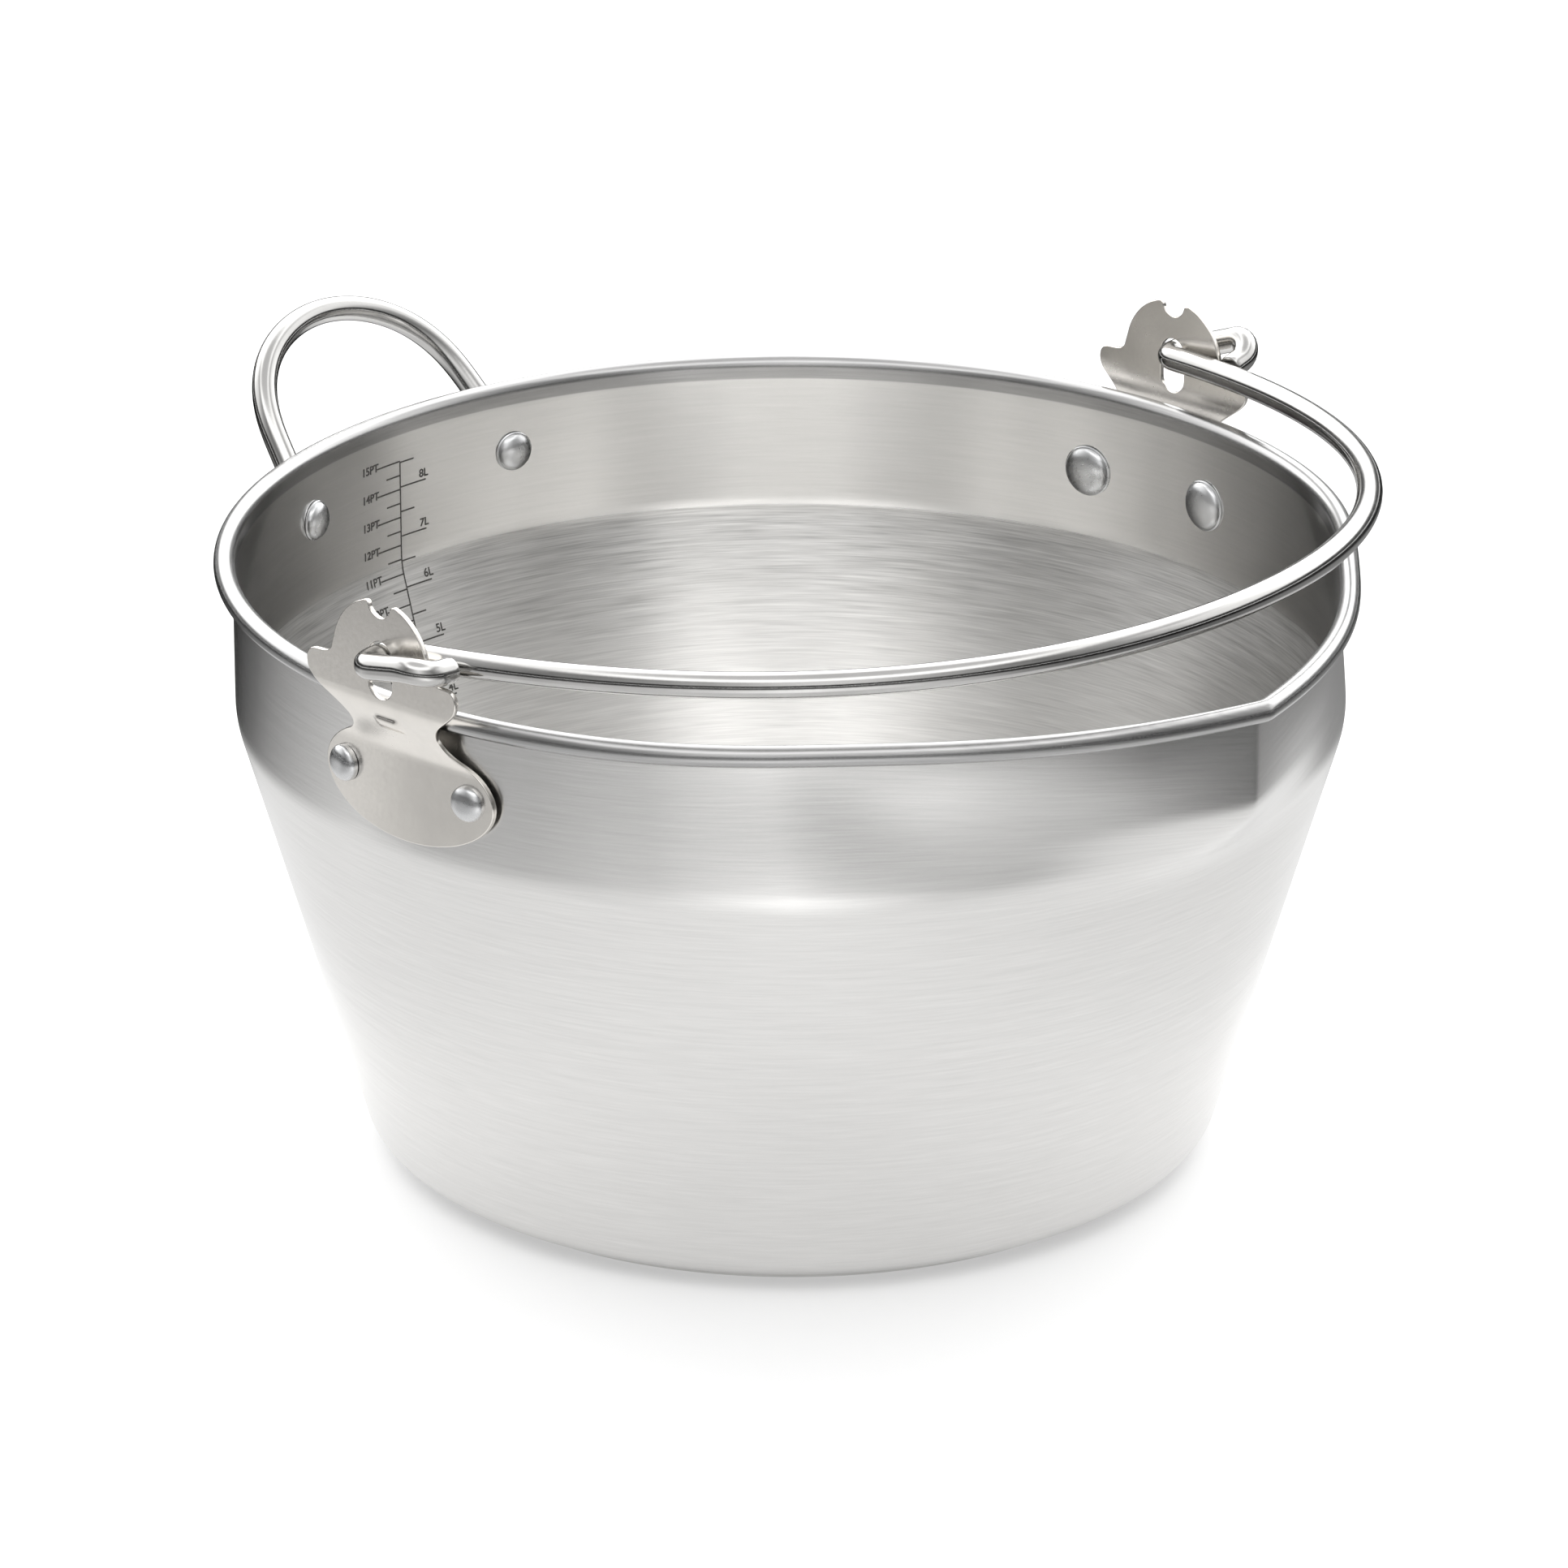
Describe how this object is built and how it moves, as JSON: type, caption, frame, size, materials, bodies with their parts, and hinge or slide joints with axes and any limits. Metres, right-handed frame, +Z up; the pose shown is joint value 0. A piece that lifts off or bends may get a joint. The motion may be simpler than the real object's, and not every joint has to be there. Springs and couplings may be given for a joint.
{
  "type": "brew kettle",
  "caption": "Wide stainless steel brewing pan with a sloping wall, rolled rim, pressed pouring lip, swing bail in slotted stop plates, riveted loop handle and a sandwich base.",
  "frame": {"origin": "centre of the flat underside of the base, on the axis of the pan", "axes": "+Z up along the pan's axis, the pouring lip towards -Y, the loop handle at +Y, and the bail turning about a line along X"},
  "size_m": [0.3389, 0.3544, 0.1955],
  "materials": {
    "pan": "brushed stainless sheet, fine rings inside",
    "plate": "satin polished stainless plate",
    "rod": "polished stainless rod",
    "rivet": "polished stainless rivets",
    "core": "plain aluminium disc, hidden in the base"
  },
  "bodies": {
    "pan": {"pan_shell": "pan", "base_core_disc": "core", "base_cap": "pan", "loop_handle": "rod", "bail_plate_right": "plate", "bail_plate_left": "plate", "plate_rivet_right_front": "rivet", "plate_rivet_right_rear": "rivet", "plate_rivet_left_front": "rivet", "plate_rivet_left_rear": "rivet", "loop_rivet_right": "rivet", "loop_rivet_left": "rivet"},
    "bail": {"bail_handle": "rod"}
  },
  "joints": [
    {"name": "bail_pivot", "type": "hinge", "parent": "pan", "child": "bail", "pos_m": [0, -0.0015, 0.181], "axis": [-1, 0, 0], "range_deg": [0, 174]}
  ]
}
